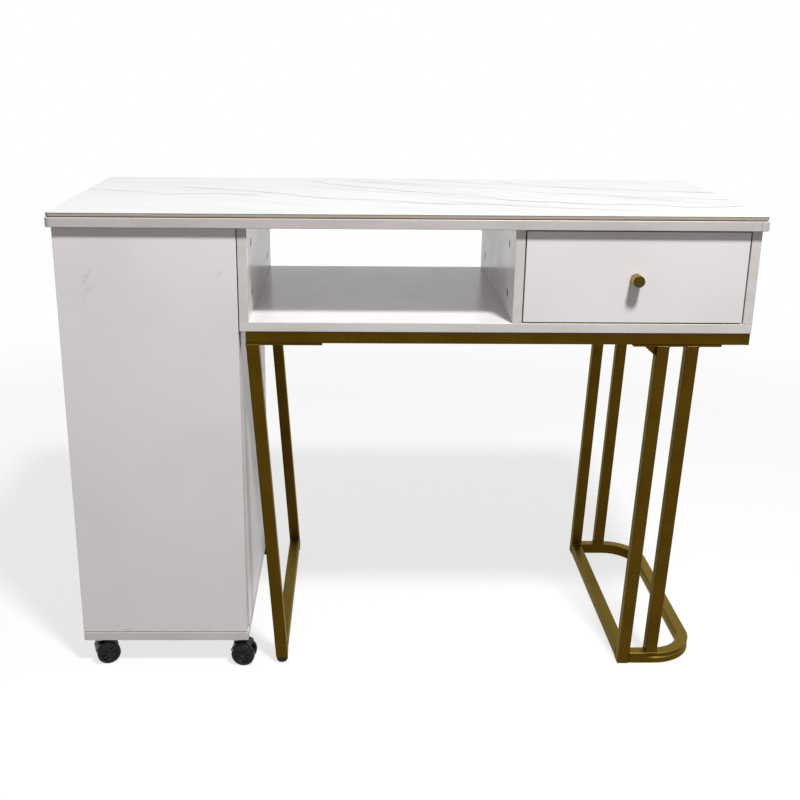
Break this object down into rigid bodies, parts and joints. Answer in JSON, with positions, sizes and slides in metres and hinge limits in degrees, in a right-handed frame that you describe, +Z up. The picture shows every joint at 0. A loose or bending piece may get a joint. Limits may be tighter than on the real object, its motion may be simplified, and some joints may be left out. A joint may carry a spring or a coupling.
{
  "type": "manicure table",
  "caption": "Manicure table: stone slab top, tall side cabinet on casters, open niche, shallow drawer with a round knob, and a square-tube metal leg frame with a looped base.",
  "frame": {"origin": "on the floor, at the centre of the footprint's box, knob included", "axes": "+X to the right seen from the drawer side, +Y from the drawer side to the back, +Z up"},
  "size_m": [1.1, 0.472, 0.78],
  "materials": {
    "stone": "polished white marble look with fine grey veins, beige edge",
    "adhesive": "dark silicone bed",
    "board": "white gloss laminate on particle board",
    "back_panel": "white coated hardboard",
    "gold_paint": "antique gold satin paint on steel tube",
    "knob_metal": "antique gold satin",
    "zinc_steel": "bright zinc plate",
    "cam_zinc": "dark zinc die casting",
    "bush_plastic": "natural nylon",
    "latch_plastic": "grey moulded plastic",
    "foot_plastic": "black moulded plastic",
    "caster_plastic": "black moulded plastic",
    "wheel_plastic": "black moulded plastic"
  },
  "bodies": {
    "table": {"stone_slab": "stone", "slab_adhesive": "adhesive", "top_board": "board", "cabinet_side_left": "board", "cabinet_side_right": "board", "cabinet_bottom": "board", "cabinet_back": "back_panel", "cabinet_top_rails": "board", "cabinet_shelves": "board", "shelf_pins": "zinc_steel", "pivot_bushes": "bush_plastic", "latch_housing": "latch_plastic", "carcass_side_left": "board", "carcass_divider": "board", "carcass_side_right": "board", "carcass_bottom": "board", "drawer_bay_back": "back_panel", "cam_locks": "cam_zinc", "cam_bolts": "zinc_steel", "slide_outer_members": "zinc_steel", "frame_front_rail": "gold_paint", "frame_back_rail": "gold_paint", "frame_end_rails": "gold_paint", "leg_plates": "gold_paint", "left_leg_posts": "gold_paint", "left_leg_stretcher": "gold_paint", "foot_plugs": "foot_plastic", "right_inner_posts": "gold_paint", "right_outer_posts": "gold_paint", "right_leg_stretcher": "gold_paint", "base_loop": "gold_paint", "gussets": "gold_paint", "frame_screws": "zinc_steel", "caster_stems": "zinc_steel"},
    "door": {"door": "board", "door_pivot_pins": "zinc_steel", "strike_plate": "zinc_steel"},
    "latch_plunger": {"latch_plunger": "latch_plastic"},
    "slide_middles": {"slide_middle_members": "zinc_steel"},
    "drawer": {"drawer_front": "board", "drawer_side_left": "board", "drawer_side_right": "board", "drawer_back": "board", "drawer_bottom": "back_panel", "knob": "knob_metal", "knob_screw": "zinc_steel", "drawer_front_screws": "zinc_steel", "slide_inner_members": "zinc_steel"},
    "caster_fl": {"caster_body_fl": "caster_plastic"},
    "wheels_fl": {"caster_axle_fl": "zinc_steel", "caster_wheels_fl": "wheel_plastic"},
    "caster_fr": {"caster_body_fr": "caster_plastic"},
    "wheels_fr": {"caster_axle_fr": "zinc_steel", "caster_wheels_fr": "wheel_plastic"},
    "caster_bl": {"caster_body_bl": "caster_plastic"},
    "wheels_bl": {"caster_axle_bl": "zinc_steel", "caster_wheels_bl": "wheel_plastic"},
    "caster_br": {"caster_body_br": "caster_plastic"},
    "wheels_br": {"caster_axle_br": "zinc_steel", "caster_wheels_br": "wheel_plastic"}
  },
  "joints": [
    {"name": "door_hinge", "type": "hinge", "parent": "table", "child": "door", "pos_m": [-0.536, -0.205, 0.4105], "axis": [0, 0, -1], "range_deg": [0, 100]},
    {"name": "latch_press", "type": "slide", "parent": "table", "child": "latch_plunger", "axis": [0, 1, 0], "range_m": [0, 0.004], "stiffness_N_per_m": 150, "springref_m": -0.01},
    {"name": "drawer_slide", "type": "slide", "parent": "table", "child": "drawer", "axis": [0, -1, 0], "range_m": [0, 0.36]},
    {"name": "slide_middle_travel", "type": "slide", "parent": "table", "child": "slide_middles", "axis": [0, -1, 0], "range_m": [0, 0.18]},
    {"name": "caster_swivel_fl", "type": "hinge", "parent": "table", "child": "caster_fl", "pos_m": [-0.52, -0.201, 0.03], "axis": [0, 0, 1], "continuous": true},
    {"name": "wheel_roll_fl", "type": "hinge", "parent": "caster_fl", "child": "wheels_fl", "pos_m": [-0.50795, -0.19613, 0.02], "axis": [-0.3746, 0.9272, 0], "continuous": true},
    {"name": "caster_swivel_fr", "type": "hinge", "parent": "table", "child": "caster_fr", "pos_m": [-0.284, -0.201, 0.03], "axis": [0, 0, 1], "continuous": true},
    {"name": "wheel_roll_fr", "type": "hinge", "parent": "caster_fr", "child": "wheels_fr", "pos_m": [-0.2711, -0.20258, 0.02], "axis": [0.1219, 0.9925, 0], "continuous": true},
    {"name": "caster_swivel_bl", "type": "hinge", "parent": "table", "child": "caster_bl", "pos_m": [-0.52, 0.219, 0.03], "axis": [0, 0, 1], "continuous": true},
    {"name": "wheel_roll_bl", "type": "hinge", "parent": "caster_bl", "child": "wheels_bl", "pos_m": [-0.5135, 0.20774, 0.02], "axis": [0.866, 0.5, 0], "continuous": true},
    {"name": "caster_swivel_br", "type": "hinge", "parent": "table", "child": "caster_br", "pos_m": [-0.284, 0.219, 0.03], "axis": [0, 0, 1], "continuous": true},
    {"name": "wheel_roll_br", "type": "hinge", "parent": "caster_br", "child": "wheels_br", "pos_m": [-0.2712, 0.21674, 0.02], "axis": [0.1736, 0.9848, 0], "continuous": true}
  ],
  "couplings": [
    {"joint": "slide_middle_travel", "follows": "drawer_slide", "ratio": 0.5}
  ]
}
